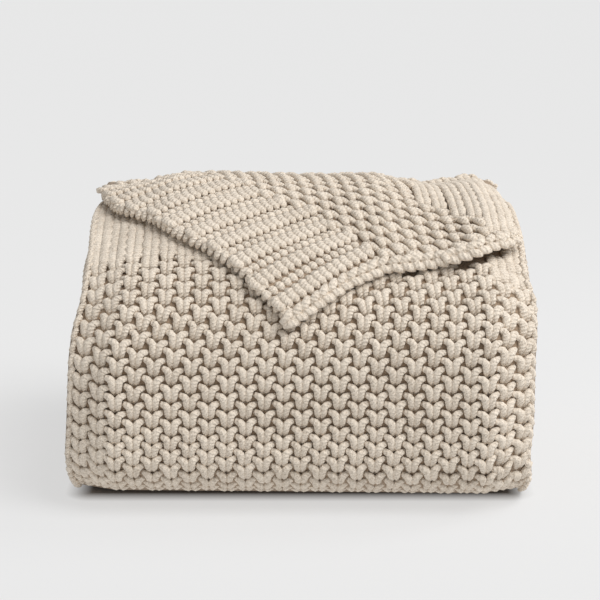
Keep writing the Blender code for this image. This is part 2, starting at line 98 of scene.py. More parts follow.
def floor_paint():
    paint = bpy.data.materials.new("floor_paint")
    paint.use_nodes = True
    tree = paint.node_tree
    shader = tree.nodes["Principled BSDF"]
    place = tree.nodes.new("ShaderNodeTexCoord")
    parts = tree.nodes.new("ShaderNodeSeparateXYZ")
    tree.links.new(place.outputs["Object"], parts.inputs[0])
    beyond = []
    for axis, half in (("X", CARD_HALF[0]), ("Y", CARD_HALF[1])):
        away = math_node(tree, "ABSOLUTE", parts.outputs[axis])
        away = math_node(tree, "MAXIMUM", math_node(tree, "SUBTRACT", away, half), 0.0)
        beyond.append(math_node(tree, "POWER", away, 2.0))
    distance = math_node(tree, "SQRT", math_node(tree, "ADD", *beyond))
    table = math_node(tree, "MINIMUM", math_node(tree, "DIVIDE", distance, CARD_EDGE), 1.0)
    darker = math_node(tree, "MULTIPLY", table, FLOOR_GREY - CARD_GREY)
    grey = math_node(tree, "ADD", darker, CARD_GREY)
    mix = tree.nodes.new("ShaderNodeCombineColor")
    for slot in mix.inputs:
        tree.links.new(grey, slot)
    tree.links.new(mix.outputs[0], shader.inputs["Base Color"])
    shader.inputs["Roughness"].default_value = 1.0
    shader.inputs["Specular IOR Level"].default_value = 0.0
    shader.inputs["Emission Color"].default_value = (1.0, 1.0, 1.0, 1.0)
    glow = math_node(tree, "MULTIPLY", table, FLOOR_GLOW)
    tree.links.new(glow, shader.inputs["Emission Strength"])
    return paint


def make_floor():
    mesh = bpy.data.meshes.new("studio_floor")
    far = FLOOR_REACH
    corners = [(-far, -far, 0.0), (far, -far, 0.0), (far, far, 0.0), (-far, far, 0.0)]
    mesh.from_pydata(corners, [], [(0, 1, 2, 3)])
    floor = bpy.data.objects.new("studio_floor", mesh)
    bpy.context.scene.collection.objects.link(floor)
    mesh.materials.append(floor_paint())
    return floor


make_camera()
make_floor()
print("camera lens in mm", round(FOCAL_PIXELS / PICTURE_SIZE * SENSOR_WIDTH, 1))

# %% [markdown]
# A soft key light comes from the upper right and front, and a white surround fills the shadows.
# A sun lamp with a wide disc gives the same soft light all over the floor, which an area lamp
# close by would not. A small soft lamp at the right lifts the right end of the top.

# %% Light
KEY_STRENGTH = 2.0
KEY_ANGLE = math.radians(36.0)
KEY_FROM = Vector((0.72, -0.55, 1.20))
FILL_STRENGTH = 0.42
SIDE_FROM = Vector((0.80, 0.10, 0.80))
SIDE_AIM = Vector((0.12, 0.0, 0.22))
SIDE_ENERGY = 2.5
SIDE_SIZE = 0.35


def make_light():
    sun = bpy.data.lights.new("key_light", "SUN")
    sun.energy = KEY_STRENGTH
    sun.angle = KEY_ANGLE
    lamp = bpy.data.objects.new("key_light", sun)
    lamp.rotation_euler = KEY_FROM.to_track_quat("Z", "Y").to_euler()
    bpy.context.scene.collection.objects.link(lamp)
    soft = bpy.data.lights.new("side_light", "AREA")
    soft.energy = SIDE_ENERGY
    soft.size = SIDE_SIZE
    side = bpy.data.objects.new("side_light", soft)
    side.location = SIDE_FROM
    side.rotation_euler = (SIDE_FROM - SIDE_AIM).to_track_quat("Z", "Y").to_euler()
    bpy.context.scene.collection.objects.link(side)
    world = bpy.data.worlds.new("studio_surround")
    world.use_nodes = True
    background = world.node_tree.nodes["Background"]
    background.inputs["Color"].default_value = (1.0, 1.0, 1.0, 1.0)
    background.inputs["Strength"].default_value = FILL_STRENGTH
    bpy.context.scene.world = world
    bpy.context.scene.view_settings.view_transform = "Standard"


make_light()
print("key light from", tuple(KEY_FROM))

# %% [markdown]
# The stack follows a few named sizes: how thick the cloth is, how many times it goes back and
# forth, and how round its folds are. Seen from the side the cloth is a set of U shapes inside each
# other, all open at the back, and joined there in pairs. An even stack would look like a block, so
# one function settles it as real cloth settles: sides that lean, rounded corners, a low dome, and a
# front that lifts a little off the ground.

# %% Stack sizes
CLOTH_T = 0.0092
LAYER_GAP = 0.0014
PITCH = CLOTH_T + LAYER_GAP
FOLD_PAIRS = 9
STACK_TOP = 2 * FOLD_PAIRS * PITCH - LAYER_GAP
FRONT_Y = -0.155
TOP_BEND_R = 0.066
BOTTOM_BEND_R = 0.050
INNER_BEND_R = 0.026
HALF_WIDTH = 0.185
FRONT_FADE_Y = -0.02
FRONT_FADE = 0.13
BELLY = 0.006
FRONT_WAVE = 0.0018
FRONT_WAVE_X = (17.0, 1.1)
FRONT_WAVE_Z = (21.0, 0.4)
CORNER_START = 0.78
CORNER_SOFT = 0.08
CORNER_TURN = 0.022
SIDE_SINK = 0.022
CREST_Y = 0.018
CREST_RISE = 0.198
CREST_FALL = 0.30
CREST_MIDDLE = -0.08
CREST_POWER = 2.5
BACK_FALL = 0.62
BACK_FALL_RUN = 0.14
RIPPLE = 0.006
RIPPLE_START = -0.05
RIPPLE_RUN = 0.15
RIPPLE_X = (23.0, 0.6)
FOOT_LIFT = 0.0085
FOOT_TILT = 0.30
FOOT_Y = -0.055
FOOT_RUN = 0.085
FOOT_HIGH = 0.075
BACK_Y_TOP = (0.141, 0.136, 0.143, 0.138)
BACK_Y_BOTTOM = (0.142, 0.137, 0.140, 0.135)
ROLL_Y = 0.136
FREE_END_Y = 0.118
# The stack's middle before the solid was moved onto the origin.
SEAT = (0.0017, -0.0030)

# Uneven top of the folded throw: x, how much higher the crest lies there.
CREST_LIFT = (
    (-0.172, 0.0050),
    (-0.150, 0.0008),
    (-0.132, 0.0010),
    (-0.105, 0.0062),
    (-0.068, 0.0060),
    (-0.030, 0.0036),
    (0.000, 0.0020),
    (0.034, 0.0020),
    (0.064, 0.0038),
    (0.090, 0.0000),
    (0.119, -0.0008),
    (0.153, 0.0082),
    (0.172, 0.0080),
)

# Side outline seen from the front: height, left edge, right edge.
SIDE_OUTLINE = (
    (0.000, -0.183, 0.184),
    (0.020, -0.184, 0.187),
    (0.045, -0.184, 0.185),
    (0.075, -0.183, 0.187),
    (0.105, -0.182, 0.186),
    (0.130, -0.180, 0.186),
    (0.150, -0.177, 0.188),
    (0.170, -0.171, 0.189),
    (0.188, -0.169, 0.181),
    (0.197, -0.170, 0.174),
    (0.210, -0.170, 0.171),
)

# How far each U stops short of the stack's side, left and right, as fractions of the half width.
SIDE_INSETS = (
    (0.000, 0.000),
    (0.016, 0.020),
    (0.004, 0.030),
    (0.026, 0.008),
    (0.010, 0.022),
    (0.034, 0.012),
    (0.014, 0.032),
    (0.028, 0.010),
    (0.012, 0.026),
)


def smooth(t):
    t = min(max(t, 0.0), 1.0)
    return t * t * (3.0 - 2.0 * t)


def interpolate(rows, at, column):
    if at <= rows[0][0]:
        return rows[0][column]
    for low, high in zip(rows, rows[1:]):
        if at <= high[0]:
            t = (at - low[0]) / (high[0] - low[0])
            return low[column] + (high[column] - low[column]) * t
    return rows[-1][column]


def corner_bend(into):
    return into ** 2 if into < CORNER_SOFT else CORNER_SOFT * (2.0 * into - CORNER_SOFT)


def round_side(u):
    """How far an upright corner has turned back: nothing in the middle, 1 at the side."""
    return corner_bend(max(abs(u) - CORNER_START, 0.0)) / corner_bend(1.0 - CORNER_START)


def settle(u, y, z):
    """Turn a place in an even stack into a place in the settled one."""
    left = interpolate(SIDE_OUTLINE, z, 1)
    right = interpolate(SIDE_OUTLINE, z, 2)
    x = 0.5 * (left + right) + 0.5 * (right - left) * u
    side = round_side(u)
    front = smooth((FRONT_FADE_Y - y) / FRONT_FADE)
    belly = math.sin(math.pi * min(max(z / STACK_TOP, 0.0), 1.0))
    wave = FRONT_WAVE * math.sin(FRONT_WAVE_X[0] * x + FRONT_WAVE_X[1])
    wave *= math.sin(FRONT_WAVE_Z[0] * z + FRONT_WAVE_Z[1])
    y_out = y + front * (CORNER_TURN * side - BELLY * belly + wave * belly)
    climb = smooth((y - FRONT_Y) / (CREST_Y - FRONT_Y))
    rise = climb - BACK_FALL * smooth((y - CREST_Y) / BACK_FALL_RUN)
    dome = CREST_RISE * rise * (1.0 - CREST_FALL * abs(u - CREST_MIDDLE) ** CREST_POWER)
    lift = climb * interpolate(CREST_LIFT, x, 1) / STACK_TOP
    ripple = RIPPLE * math.sin(RIPPLE_X[0] * x + RIPPLE_X[1])
    ripple *= smooth((y - RIPPLE_START) / RIPPLE_RUN)
    foot = FOOT_LIFT * (1.0 - FOOT_TILT * u) * smooth((FOOT_Y - y) / FOOT_RUN)
    foot *= 1.0 - smooth(z / FOOT_HIGH)
    z_out = z * (1.0 + dome + lift + ripple - SIDE_SINK * side) + foot
    return Vector((x - SEAT[0], y_out - SEAT[1], z_out))


print("stack", 2 * FOLD_PAIRS, "layers,", round(STACK_TOP, 4), "m high before it settles")

# %% [markdown]
# The path of the cloth is a list of rows. Each row holds y, z, the direction that face A looks in,
# and the number of its U. The path starts at the free inner end, goes round every U from the inside
# out, and ends at the roll where the cloth turns forward over the top.

# %% Path of the folds
FLAT_STEP = 0.016
OUTER_BEND = 14
INNER_BEND = 9
BACK_SEGMENTS = 8
ROLL_SEGMENTS = 12
ROLL_DEPTH = 1.25
LEAST_STRAIGHT = 0.002


def arc(centre, radius, start, end, count):
    rows = []
    for step in range(1, count + 1):
        angle = math.radians(start + (end - start) * step / count)
        out = (math.cos(angle), math.sin(angle))
        rows.append((centre[0] + radius * out[0], centre[1] + radius * out[1], out))
    return rows


def line(start, end, out):
    length = math.hypot(end[0] - start[0], end[1] - start[1])
    count = max(1, round(length / FLAT_STEP))
    rows = []
    for step in range(1, count + 1):
        t = step / count
        rows.append((start[0] + (end[0] - start[0]) * t, start[1] + (end[1] - start[1]) * t, out))
    return rows


def u_run(number, y_low, y_high):
    """One U from its lower back end, round the front, to its upper back end."""
    depth = CLOTH_T / 2 + number * PITCH
    low = depth
    high = STACK_TOP - depth
    front = FRONT_Y + depth
    half = (high - low) / 2
    r_top = min(max(TOP_BEND_R - depth, INNER_BEND_R), half)
    r_low = min(max(BOTTOM_BEND_R - depth, INNER_BEND_R), half)
    bend = OUTER_BEND if number == 0 else INNER_BEND
    rows = [(y_low, low, (0.0, -1.0))]
    rows += line((y_low, low), (front + r_low, low), (0.0, -1.0))
    rows += arc((front + r_low, low + r_low), r_low, -90.0, -180.0, bend)
    if high - low > r_top + r_low + LEAST_STRAIGHT:
        rows += line((front, low + r_low), (front, high - r_top), (-1.0, 0.0))
    rows += arc((front + r_top, high - r_top), r_top, 180.0, 90.0, bend)
    rows += line((front + r_top, high), (y_high, high), (0.0, 1.0))
    return rows


def back_bend(start, end):
    """Half turn at the back between two runs whose ends lie one pitch apart."""
    rows = []
    centre = (start[0], (start[1] + end[1]) / 2)
    radius = abs(end[1] - start[1]) / 2
    sign = 1.0 if end[1] > start[1] else -1.0
    facing = 1.0 if start[2][1] * sign < 0 else -1.0
    for step in range(1, BACK_SEGMENTS):
        angle = math.pi * step / BACK_SEGMENTS
        out = (math.sin(angle), -sign * math.cos(angle))
        rows.append((
            centre[0] + radius * out[0],
            centre[1] + radius * out[1],
            (facing * out[0], facing * out[1]),
            start[3] if step < BACK_SEGMENTS / 2 else end[3],
        ))
    return rows


FLAP_GAP = 0.0024
FLAP_LIFT_BACK = 0.004


def roll(last):
    """Half turn from the top of the outer U up into the flap."""
    height = FLAP_GAP + CLOTH_T + FLAP_LIFT_BACK
    radius = height / 2
    rows = []
    for step in range(1, ROLL_SEGMENTS):
        angle = math.pi * step / ROLL_SEGMENTS
        out = (math.sin(angle), -math.cos(angle))
        y = last[0] + radius * ROLL_DEPTH * out[0]
        z = last[1] + radius + radius * out[1]
        rows.append((y, z, (-out[0], -out[1]), 0))
    rows.append((last[0], last[1] + height, (0.0, -1.0), 0))
    return rows


def sheet_path():
    path = []
    for number in range(FOLD_PAIRS - 1, -1, -1):
        pair = number // 2
        if number % 2 == 0:
            y_low = FREE_END_Y if number == FOLD_PAIRS - 1 else BACK_Y_BOTTOM[pair]
            y_high = BACK_Y_TOP[pair - 1] if number else ROLL_Y
        else:
            y_low = BACK_Y_BOTTOM[pair]
            y_high = BACK_Y_TOP[pair]
        rows = u_run(number, y_low, y_high)
        side = 1.0
        if number % 2:
            rows.reverse()
            side = -1.0
        rows = [(y, z, (side * out[0], side * out[1]), number) for y, z, out in rows]
        if path:
            path += back_bend(path[-1], rows[0])
        path += rows
    return path + roll(path[-1])


def path_lengths(path):
    lengths = [0.0]
    for low, high in zip(path, path[1:]):
        lengths.append(lengths[-1] + math.hypot(high[0] - low[0], high[1] - low[1]))
    return lengths


PATH = sheet_path()
LENGTHS = path_lengths(PATH)
print("path", len(PATH), "rows,", round(LENGTHS[-1], 2), "m of cloth before the flap")

# %% [markdown]
# Any place on the folded cloth is found from three numbers: how far across, how far along, and how
# high over the middle of the cloth. Stitches and the sheet both use this one function, so they
# always lie on each other.

# %% Places on the folds
TINY = 1e-9
END_TRIM = 1e-6
OUTER_WANDER = 0.004
INNER_WANDER = 0.010
WANDER_LENGTH = 0.021
WANDER_STEP = 0.002
WANDER_PHASE = 1.7
WANDER_RIGHT = 2.1
BACK_WAVE = 0.0035
BACK_WAVE_Y = 0.07
BACK_WAVE_RUN = 0.06
BACK_WAVE_TURNS = 7.0
BACK_WAVE_SHIFT = 2.3


def edge_u(number, along, right):
    """Where a layer's side edge lies at this place along the path, with its unevenness."""
    inset = SIDE_INSETS[number][1 if right else 0]
    size = OUTER_WANDER if number == 0 else INNER_WANDER
    phase = WANDER_PHASE * number + (WANDER_RIGHT if right else 0.0)
    return 1.0 - inset + size * math.sin(along / (WANDER_LENGTH + WANDER_STEP * number) + phase)


def row_at(along):
    """The path's row at a distance along it, between the listed rows."""
    along = min(max(along, 0.0), LENGTHS[-1] - END_TRIM)
    low = 0
    high = len(LENGTHS) - 1
    while high - low > 1:
        middle = (low + high) // 2
        if LENGTHS[middle] <= along:
            low = middle
        else:
            high = middle
    t = (along - LENGTHS[low]) / max(LENGTHS[high] - LENGTHS[low], TINY)
    a, b = PATH[low], PATH[high]
    out = Vector((a[2][0] + (b[2][0] - a[2][0]) * t, a[2][1] + (b[2][1] - a[2][1]) * t)).normalized()
    return a[0] + (b[0] - a[0]) * t, a[1] + (b[1] - a[1]) * t, out, a[3] if t < 0.5 else b[3]


def fold_point(u, along, height):
    """A place on the folds: u across from -1 to 1, metres along, metres towards face A."""
    y, z, out, number = row_at(along)
    fold = (number + 1) // 2 + FOLD_PAIRS if z > STACK_TOP / 2 else number // 2
    wave = BACK_WAVE * smooth((y - BACK_WAVE_Y) / BACK_WAVE_RUN)
    shift = wave * math.sin(BACK_WAVE_TURNS * u + BACK_WAVE_SHIFT * fold)
    return settle(u, y + shift + out[0] * height, z + out[1] * height)


print("middle of the path", [round(c, 3) for c in fold_point(0.0, LENGTHS[-1] / 2, 0.0)])

# %% [markdown]
# The corner flap has an outline of its own, given flat: x across the stack, and how far forward of
# the roll along the cloth. Its left part runs down to a point in the middle of the front, and its
# right part comes back up along the chain edge to the corner over the right end.

# %% Flap outline
FLAP_RUN = (
    (-0.169, 0.012),
    (-0.171, 0.042),
    (-0.171, 0.078),
    (-0.169, 0.108),
    (-0.163, 0.131),
    (-0.152, 0.159),
    (-0.126, 0.183),
    (-0.102, 0.212),
    (-0.076, 0.234),
    (-0.052, 0.253),
    (-0.030, 0.279),
    (-0.007, 0.3045),
    (0.018, 0.287),
    (0.042, 0.270),
    (0.072, 0.256),
    (0.108, 0.250),
    (0.146, 0.244),
    (0.172, 0.235),
    (0.186, 0.222),
    (0.178, 0.190),
    (0.173, 0.150),
    (0.176, 0.110),
    (0.174, 0.075),
    (0.171, 0.042),
    (0.169, 0.012),
)
FLAP_LEFT = 3
FLAP_TIP = 11
FLAP_CORNER = 18
FLAP_LIFT_RUN = 0.035
CORNER_LIFT = 0.009
CORNER_LIFT_X = 0.10
CORNER_LIFT_WIDTH = 0.07
CORNER_LIFT_START = 0.12
CORNER_LIFT_RUN = 0.08


def flap_row(run, lift):
    """Place and upward direction on the flap's middle surface in the even stack."""
    offset = FLAP_GAP + CLOTH_T / 2 + lift
    centre = (FRONT_Y + TOP_BEND_R, STACK_TOP - TOP_BEND_R)
    straight = ROLL_Y - centre[0]
    radius = TOP_BEND_R + offset
    turn_radius = TOP_BEND_R + FLAP_GAP + CLOTH_T / 2
    if run <= straight:
        return (ROLL_Y - run, STACK_TOP + offset, (0.0, 1.0))
    turn = (run - straight) / turn_radius
    if turn <= math.pi / 2:
        out = (-math.sin(turn), math.cos(turn))
        return (centre[0] + radius * out[0], centre[1] + radius * out[1], out)
    drop = run - straight - turn_radius * math.pi / 2
    return (centre[0] - radius, centre[1] - drop, (-1.0, 0.0))


def flap_lift(x, run):
    back = FLAP_LIFT_BACK * math.exp(-run / FLAP_LIFT_RUN)
    corner = CORNER_LIFT * smooth((x - CORNER_LIFT_X) / CORNER_LIFT_WIDTH)
    return back + corner * smooth((run - CORNER_LIFT_START) / CORNER_LIFT_RUN)


def flap_place(x, run, height):
    """A place on the flap: x and run in its flat plane, height over its middle."""
    y, z, out = flap_row(run, flap_lift(x, run))
    left = interpolate(SIDE_OUTLINE, z, 1)
    right = interpolate(SIDE_OUTLINE, z, 2)
    u = (2.0 * x - left - right) / (right - left)
    return settle(u, y + out[0] * height, z + out[1] * height)


def polyline(points):
    """Lengths along a line of flat points."""
    lengths = [0.0]
    for low, high in zip(points, points[1:]):
        lengths.append(lengths[-1] + math.hypot(high[0] - low[0], high[1] - low[1]))
    return lengths


def along_polyline(points, lengths, at):
    """A point on the line and its unit direction there."""
    at = min(max(at, 0.0), lengths[-1] - TINY)
    for number in range(len(points) - 1):
        if at <= lengths[number + 1]:
            low, high = points[number], points[number + 1]
            t = (at - lengths[number]) / (lengths[number + 1] - lengths[number])
            dx, dr = high[0] - low[0], high[1] - low[1]
            size = math.hypot(dx, dr)
            return (low[0] + dx * t, low[1] + dr * t), (dx / size, dr / size)
    return points[-1], (1.0, 0.0)


def distance_to(points, x, run):
    nearest = 1.0
    for low, high in zip(points, points[1:]):
        dx, dr = high[0] - low[0], high[1] - low[1]
        t = ((x - low[0]) * dx + (run - low[1]) * dr) / (dx * dx + dr * dr)
        t = min(max(t, 0.0), 1.0)
        nearest = min(nearest, math.hypot(x - low[0] - dx * t, run - low[1] - dr * t))
    return nearest


def within_flap(x, run, margin):
    if run < 0.0:
        return False
    crossings = 0
    ring = ((FLAP_RUN[0][0], 0.0),) + FLAP_RUN + ((FLAP_RUN[-1][0], 0.0),)
    for low, high in zip(ring, ring[1:]):
        if (low[0] <= x) != (high[0] <= x):
            t = (x - low[0]) / (high[0] - low[0])
            if low[1] + (high[1] - low[1]) * t > run:
                crossings += 1
    return crossings % 2 == 1 and distance_to(FLAP_RUN, x, run) > margin


print("flap point hangs at", [round(c, 3) for c in flap_place(*FLAP_RUN[FLAP_TIP], 0.0)])

# %% [markdown]
# Everything that shows is cotton yarn of two plies, matte and a little uneven in its dye. An attribute
# of every stitch, `shade`, gives that stitch its own tone. Another, `ply`, says where a point lies
# round and along the yarn, so the twist of the plies is one sine of it, in the colour and in the bump;
# in the colour it is painted shade in the grooves between the plies. A fine noise is the fibres. The
# ground in the pits is the same yarn with painted shade: only darker, because the pits lie in shadow.

# %% Yarn colours
YARN_LIGHT = (0.88, 0.78, 0.66)
YARN_DARK = (0.54, 0.445, 0.345)
# Painted shade: the darker yarn colour of the sheet, for the shadow in the pits.
PIT_SHADE_COLOR = (0.36, 0.265, 0.185)
PLIES = 2.0
PLY_STEP = 0.0030
DYE_SCALE = 90.0
DYE_DETAIL = 3.0
FIBRE_DETAIL = 4.0
YARN_GRAIN = 620.0
YARN_TWIST = 0.22
PIT_GRAIN = 700.0
DYE_SHARE = 0.45
STITCH_SHARE = 0.22
FIBRE_SHARE = 2.2
# Share in the colour of the painted shade in the grooves between the plies.
GROOVE_SHADE_SHARE = 0.5
TONE_SHIFT = 0.65
BUMP_STRENGTH = 0.9
BUMP_DEPTH = 0.0014
COTTON_SURFACE = {
    "Roughness": 0.92,
    "Specular IOR Level": 0.18,
    "Sheen Weight": 0.25,
    "Sheen Roughness": 0.6,
    "Sheen Tint": (0.95, 0.88, 0.80, 1.0),
}


def knit_material(name, light, dark, grain, twist):
    """Matte cotton yarn: uneven dye, painted shade in the ply grooves, and twisted plies and fine
    fibres in the bump.
    """
    material = bpy.data.materials.new(name)
    material.use_nodes = True
    nodes = material.node_tree.nodes
    links = material.node_tree.links
    shader = nodes["Principled BSDF"]
    for socket, value in COTTON_SURFACE.items():
        shader.inputs[socket].default_value = value
    place = nodes.new("ShaderNodeTexCoord").outputs["Object"]
    noises = []
    for scale, detail in ((DYE_SCALE, DYE_DETAIL), (grain, FIBRE_DETAIL)):
        noise = nodes.new("ShaderNodeTexNoise")
        noise.inputs["Scale"].default_value = scale
        noise.inputs["Detail"].default_value = detail
        links.new(place, noise.inputs["Vector"])
        noises.append(noise.outputs["Fac"])
    dye, fibre = noises
    shade = nodes.new("ShaderNodeAttribute")
    shade.attribute_name = "shade"
    ply = nodes.new("ShaderNodeAttribute")
    ply.attribute_name = "ply"
    parts = nodes.new("ShaderNodeSeparateXYZ")
    links.new(ply.outputs["Vector"], parts.inputs[0])
    tree = material.node_tree
    around = math_node(tree, "MULTIPLY", parts.outputs["X"], 2.0 * math.pi * PLIES)
    length = math_node(tree, "MULTIPLY", parts.outputs["Y"], 2.0 * math.pi / PLY_STEP)
    # One sine of the ply twist: in the colour it is painted shade in the grooves between the plies, in
    # the bump their relief.
    ply_relief_and_shade = math_node(tree, "SINE", math_node(tree, "ADD", around, length))
    ply_relief_and_shade = math_node(tree, "MULTIPLY", ply_relief_and_shade, twist)
    tone = math_node(tree, "MULTIPLY", dye, DYE_SHARE)
    shares = ((shade.outputs["Fac"], STITCH_SHARE), (fibre, FIBRE_SHARE), (ply_relief_and_shade, GROOVE_SHADE_SHARE))
    for part, share in shares:
        tone = math_node(tree, "ADD", tone, math_node(tree, "MULTIPLY", part, share))
    tone = math_node(tree, "SUBTRACT", tone, TONE_SHIFT)
    ramp = nodes.new("ShaderNodeMix")
    ramp.data_type = "RGBA"
    ramp.inputs["A"].default_value = (*dark, 1.0)
    ramp.inputs["B"].default_value = (*light, 1.0)
    links.new(tone, ramp.inputs["Factor"])
    links.new(ramp.outputs["Result"], shader.inputs["Base Color"])
    bump = nodes.new("ShaderNodeBump")
    bump.inputs["Strength"].default_value = BUMP_STRENGTH
    bump.inputs["Distance"].default_value = BUMP_DEPTH
    links.new(math_node(tree, "ADD", fibre, ply_relief_and_shade), bump.inputs["Height"])
    links.new(bump.outputs["Normal"], shader.inputs["Normal"])
    return material


yarn = knit_material("cotton_yarn", YARN_LIGHT, YARN_DARK, YARN_GRAIN, YARN_TWIST)
# The sheet's finish is painted shade: the same yarn, only darker, for the shadow in the pits.
painted_pit_shade = knit_material("yarn_with_painted_pit_shade", PIT_SHADE_COLOR, PIT_SHADE_COLOR, PIT_GRAIN, 0.0)
print("finishes", yarn.name, painted_pit_shade.name)

# %% [markdown]
# The sheet itself is one closed skin: an upper and a lower face joined all round by a rounded edge.
# It could be a plane with a Solidify modifier, but then the skin would cut into itself in the tight
# folds at the back. Here every vertex is placed by the path, so the layers never touch. Where
# stitches will lie on top, the face is set a little deeper, and shows only as the dark of the pits.
# The sheet is coloured with painted shade, darker than the yarn, for the shadow in those pits.

# %% Sheet mesh
SUNK = 0.0042
SKIN = 0.0012
ACROSS = 28
SIDE_CROWD = 0.35
EDGE_BULGE = 0.30
BACK_START = 0.125
ROLL_START = len(PATH) - ROLL_SEGMENTS
FACES_FRONT = -0.02
FACES_UP = 0.5
FACES_BACK = 0.05


def station_us():
    """Stations across the cloth, closer together near the rounded corners."""
    even = [2.0 * n / ACROSS - 1.0 for n in range(ACROSS + 1)]
    return [math.sin(0.5 * math.pi * t) * SIDE_CROWD + t * (1.0 - SIDE_CROWD) for t in even]


def sheet_grid():
    """Rows of the sheet: upper points, lower points and the two side edges."""
    us = station_us()
    half = CLOTH_T / 2
    rows = []
    for index, (along, row) in enumerate(zip(LENGTHS, PATH)):
        number = row[3]
        reach = (edge_u(number, along, False), edge_u(number, along, True))
        faces_out = row[2][0] < FACES_FRONT or row[2][1] > FACES_UP
        on_wrap = number == 0 and index < ROLL_START and faces_out
        at_back = row[0] > BACK_START and abs(row[2][0]) > FACES_BACK
        sink_a = SUNK if on_wrap or (at_back and row[2][0] > 0.0) else SKIN
        sink_b = SUNK if at_back and row[2][0] < 0.0 else SKIN
        top_a = half - sink_a
        top_b = half - sink_b
        side_a, side_b = [], []
        for u in us:
            wide = u * (reach[0] if u < 0 else reach[1])
            side_a.append(fold_point(wide, along, top_a))
            side_b.append(fold_point(wide, along, -top_b))
        bulge = EDGE_BULGE * CLOTH_T / HALF_WIDTH
        left = fold_point(-reach[0] - bulge, along, 0.5 * (top_a - top_b))
        right = fold_point(reach[1] + bulge, along, 0.5 * (top_a - top_b))
        rows.append((side_a, side_b, left, right))
    return rows


FLAP_ROWS = 44
FLAP_PULL_IN = 0.0080
FLAP_BOW = 0.004
FLAP_LEAN = 0.0035
FLAP_LEAN_START = 10.0
RIM_THIN = 0.35
RIM_OUT = 0.001
RIM_DROP = 0.0015


def flap_flat(u, t):
    """Flat place on the flap: u across, t from the roll to the free edge."""
    edge = FLAP_RUN[FLAP_LEFT:FLAP_CORNER + 1]
    lengths = polyline(edge)
    s = 0.5 * (u + 1.0)
    end, (dx, dr) = along_polyline(edge, lengths, s * lengths[-1])
    end = (end[0] + dr * FLAP_PULL_IN, end[1] - dx * FLAP_PULL_IN)
    start = FLAP_RUN[0][0] + (FLAP_RUN[-1][0] - FLAP_RUN[0][0]) * s
    bow = -FLAP_BOW * math.sin(math.pi * t) * abs(u) ** 3
    bow -= FLAP_LEAN * u ** 3 * min(1.0, FLAP_LEAN_START * t)
    return start + (end[0] - start) * t + bow, end[1] * t


def flap_grid():
    us = station_us()
    half = CLOTH_T / 2
    rows = []
    for step in range(1, FLAP_ROWS + 1):
        t = step / FLAP_ROWS
        rim = 1.0 if step < FLAP_ROWS else RIM_THIN
        side_a = [flap_place(*flap_flat(u, t), -(half - SKIN) * rim) for u in us]
        side_b = [flap_place(*flap_flat(u, t), (half - SUNK) * rim) for u in us]
        left_x, left_run = flap_flat(-1.0, t)
        right_x, right_run = flap_flat(1.0, t)
        left = flap_place(left_x - RIM_OUT, left_run, -RIM_DROP)
        right = flap_place(right_x + RIM_OUT, right_run, -RIM_DROP)
        rows.append((side_a, side_b, left, right))
    return rows


def skin(rows):
    """Closed skin over the rows: both faces, the two side edges and the two ends."""
    points, faces, index = [], [], []
    for side_a, side_b, left, right in rows:
        start = len(points)
        points += [tuple(p) for p in side_a + side_b + [left, right]]
        index.append(start)
    wide = len(rows[0][0])
    for low, high in zip(index, index[1:]):
        for n in range(wide - 1):
            faces.append((low + n, low + n + 1, high + n + 1, high + n))
            faces.append((low + wide + n + 1, low + wide + n, high + wide + n, high + wide + n + 1))
        a0, b0, left = 0, wide, 2 * wide
        a1, b1, right = wide - 1, 2 * wide - 1, 2 * wide + 1
        faces.append((low + left, low + a0, high + a0, high + left))
        faces.append((low + b0, low + left, high + left, high + b0))
        faces.append((low + a1, low + right, high + right, high + a1))
        faces.append((low + right, low + b1, high + b1, high + right))
    for start, turned in ((index[0], False), (index[-1], True)):
        strip = []
        for n in range(wide - 1):
            strip.append((start + n + 1, start + n, start + wide + n, start + wide + n + 1))
        strip.append((start, start + 2 * wide, start + wide))
        strip.append((start + 2 * wide + 1, start + wide - 1, start + 2 * wide - 1))
        faces += [tuple(reversed(face)) for face in strip] if turned else strip
    return points, faces


def mesh_object(name, points, faces, material, plies=None):
    """A smooth closed mesh; plies holds, for each face corner, its place on the yarn."""
    mesh = bpy.data.meshes.new(name)
    mesh.from_pydata(points, [], faces)
    if plies:
        places = mesh.attributes.new("ply", "FLOAT2", "CORNER")
        corners = [corner for face in plies for corner in face]
        for item, corner in zip(places.data, corners):
            item.vector = corner
    work = bmesh.new()
    work.from_mesh(mesh)
    bmesh.ops.recalc_face_normals(work, faces=work.faces)
    work.to_mesh(mesh)
    work.free()
    mesh.materials.append(material)
    mesh.shade_smooth()
    item = bpy.data.objects.new(name, mesh)
    bpy.context.scene.collection.objects.link(item)
    return item


# The whole sheet wears the painted pit shade.
cloth = mesh_object("folded_cloth", *skin(sheet_grid() + flap_grid()), painted_pit_shade)
print("sheet", len(cloth.data.vertices), "vertices")

# %% [markdown]
# Two kinds of stitch make most of the cloth. On the front one stitch is a V of two short arms that
# meet in a thick stem, and the stem tucks into the V below. On the turned flap the other face of
# the cloth shows, and there each stitch is a short fat bar across its column. Where the cloth is
# pulled over a bend, a stitch is two long legs side by side. The border band has wide and narrow
# loops in turn, its rim has beads, and the chain edge has a V of its own.
# Each is modelled once, from bent tubes with few sides, because hundreds of copies follow. The
# origin is in the middle, Y is the way the column grows, Z looks out of the cloth, and sizes are in
# millimetres.

# %% One stitch of each kind
MM = 0.001
SIDES = 6


